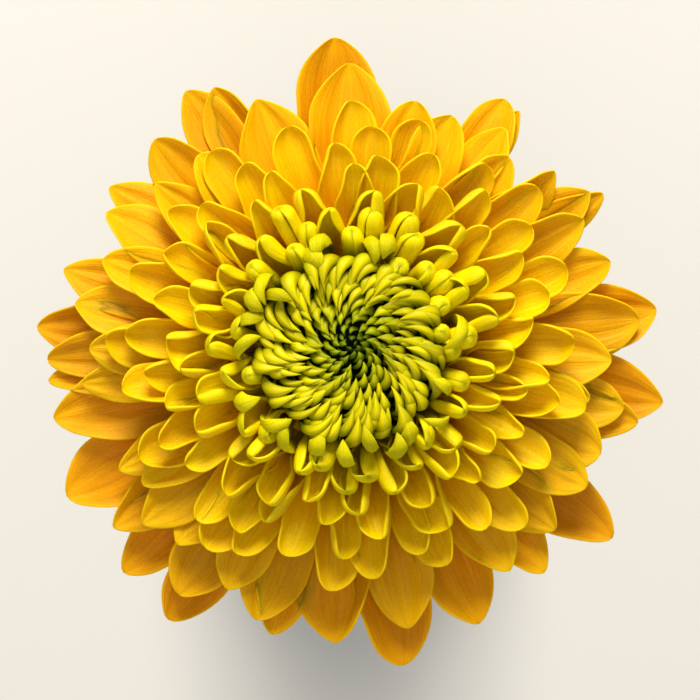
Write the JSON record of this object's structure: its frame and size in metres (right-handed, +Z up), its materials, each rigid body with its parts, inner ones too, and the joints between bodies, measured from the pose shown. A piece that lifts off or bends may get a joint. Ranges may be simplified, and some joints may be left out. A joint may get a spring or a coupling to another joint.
{
  "type": "chrysanthemum in a vase",
  "caption": "A yellow decorative chrysanthemum bloom on a leafy cut stem, standing in water in a plain dark-glazed bud vase.",
  "frame": {"origin": "centre of the vase's flat foot, on the surface it stands on", "axes": "+Z up along the vase's axis and the bloom's axis, +Y towards the top of the picture, +X to its right"},
  "size_m": [0.1188, 0.1189, 0.2392],
  "materials": {
    "vase_glaze": "dark slate glaze, glossy",
    "water": "clear still water",
    "stem_green": "fresh green stem, ribbed, matte",
    "leaf_green": "fresh leaf, soft satin",
    "bract_green": "fresh bracts with papery edges",
    "golden_petal": "golden yellow petal, velvety satin",
    "lemon_petal": "lemon yellow petal, velvety satin",
    "lime_petal": "yellow-green young florets, satin"
  },
  "bodies": {
    "root": {"vase": "vase_glaze", "water": "water", "stem": "stem_green", "leaf_1": "leaf_green", "leaf_2": "leaf_green", "leaf_3": "leaf_green", "leaf_4": "leaf_green", "involucre": "bract_green", "outer_ray_florets": "golden_petal", "inner_ray_florets": "lemon_petal", "centre_florets": "lime_petal"}
  },
  "joints": []
}
